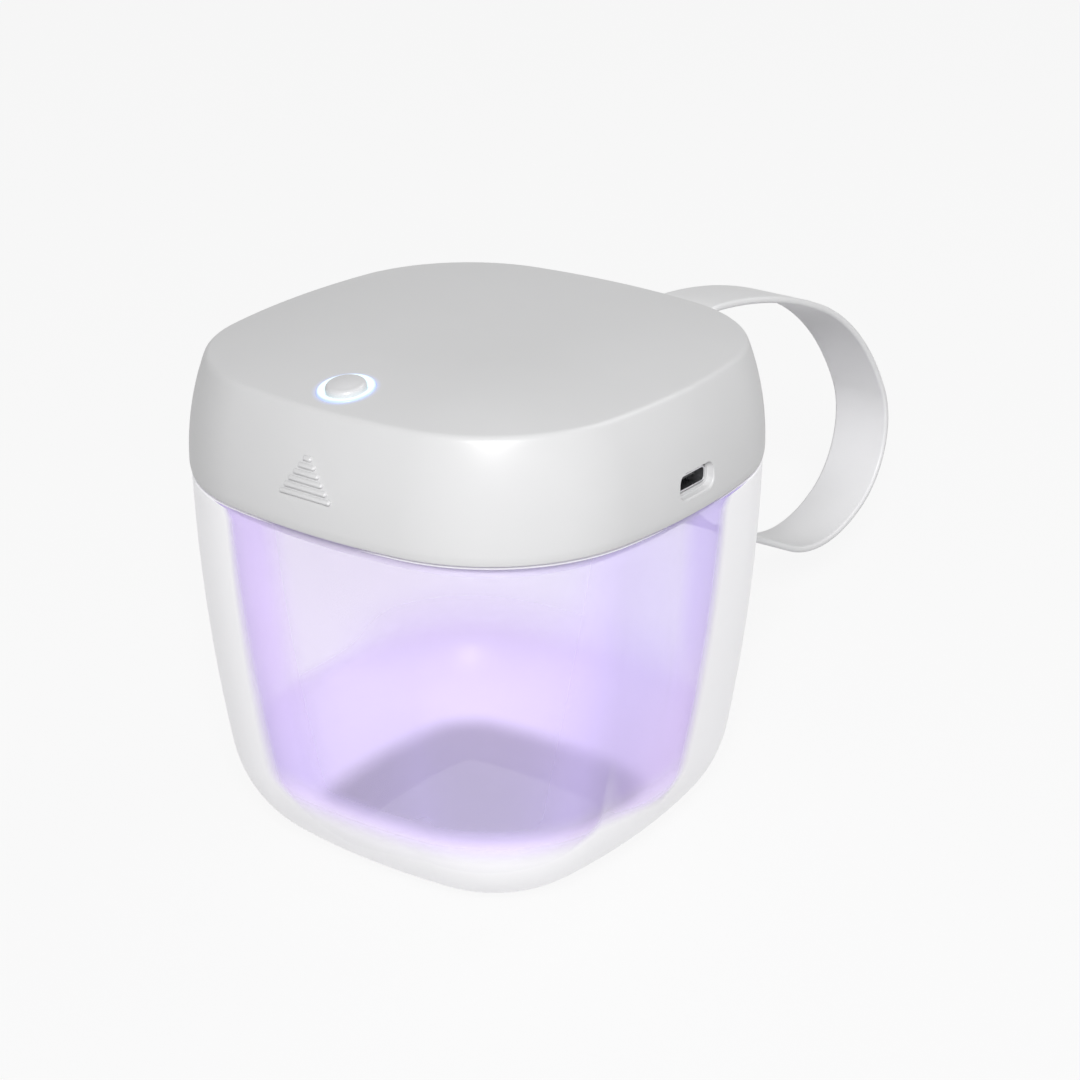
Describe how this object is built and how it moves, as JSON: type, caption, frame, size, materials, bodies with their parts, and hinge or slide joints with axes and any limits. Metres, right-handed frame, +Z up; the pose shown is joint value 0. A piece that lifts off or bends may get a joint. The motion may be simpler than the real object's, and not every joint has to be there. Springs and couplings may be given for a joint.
{
  "type": "pacifier sterilizer case",
  "caption": "Rounded-square translucent case with a flip-up lamp lid, push button, glowing ring, charging socket and a flexible loop strap behind.",
  "frame": {"origin": "centre of the flat base that the case stands on", "axes": "+Z up, -Y towards the front with the thumb grip and button, +X towards the charging socket, +Y towards the hinge and strap"},
  "size_m": [0.084, 0.1678, 0.088],
  "materials": {
    "lid_grey": "fine satin moulded shell",
    "bin_milky": "milky translucent polypropylene",
    "strap_grey": "soft matte thermoplastic rubber",
    "cover_white": "glossy white moulding",
    "silicone_white": "soft silicone",
    "steel": "plated steel",
    "window_clear": "clear quartz window",
    "reflector_silver": "bright reflector",
    "board_green": "solder-masked laminate",
    "board_white": "white solder-masked laminate",
    "chip_black": "moulded epoxy",
    "connector_cream": "moulded nylon",
    "lamp_violet": "lamp package under a clear lens",
    "ring_glow": "milky light guide",
    "battery_blue": "shrink sleeve",
    "lead_black": "insulated lead"
  },
  "bodies": {
    "bin": {"bin_shell": "bin_milky", "hinge_bracket": "lid_grey", "hinge_pin": "steel", "interlock_magnet": "steel"},
    "lid": {"lid_shell": "lid_grey", "inner_cover": "cover_white", "lid_gasket": "silicone_white", "lid_screws": "steel", "uv_window": "window_clear", "uv_reflector": "reflector_silver", "uv_board": "board_white", "uv_leds": "lamp_violet", "uv_board_screws": "steel", "main_board": "board_green", "board_chips": "chip_black", "board_connectors": "connector_cream", "main_board_screws": "steel", "usb_socket": "steel", "usb_tongue": "chip_black", "battery": "battery_blue", "hall_sensor": "chip_black", "light_ring": "ring_glow", "tact_switch": "chip_black", "button_board": "board_white", "button_board_screws": "steel", "ring_leds": "lamp_violet", "battery_lead": "lead_black", "uv_lead": "lead_black", "button_lead": "lead_black"},
    "strap": {"strap": "strap_grey"},
    "button": {"button_cap": "lid_grey", "switch_plunger": "chip_black"}
  },
  "joints": [
    {"name": "lid_hinge", "type": "hinge", "parent": "bin", "child": "lid", "pos_m": [0, 0.0456, 0.068], "axis": [-1, 0, 0], "range_deg": [0, 90]},
    {"name": "strap_flex", "type": "hinge", "parent": "bin", "child": "strap", "pos_m": [0, 0.0456, 0.068], "axis": [-1, 0, 0], "range_deg": [0, 15]},
    {"name": "button_press", "type": "slide", "parent": "lid", "child": "button", "axis": [0, 0.1678, -0.9858], "range_m": [0, 0.0006], "stiffness_N_per_m": 1500, "springref_m": -0.0003}
  ],
  "couplings": [
    {"joint": "strap_flex", "follows": "lid_hinge", "ratio": 0.165}
  ]
}
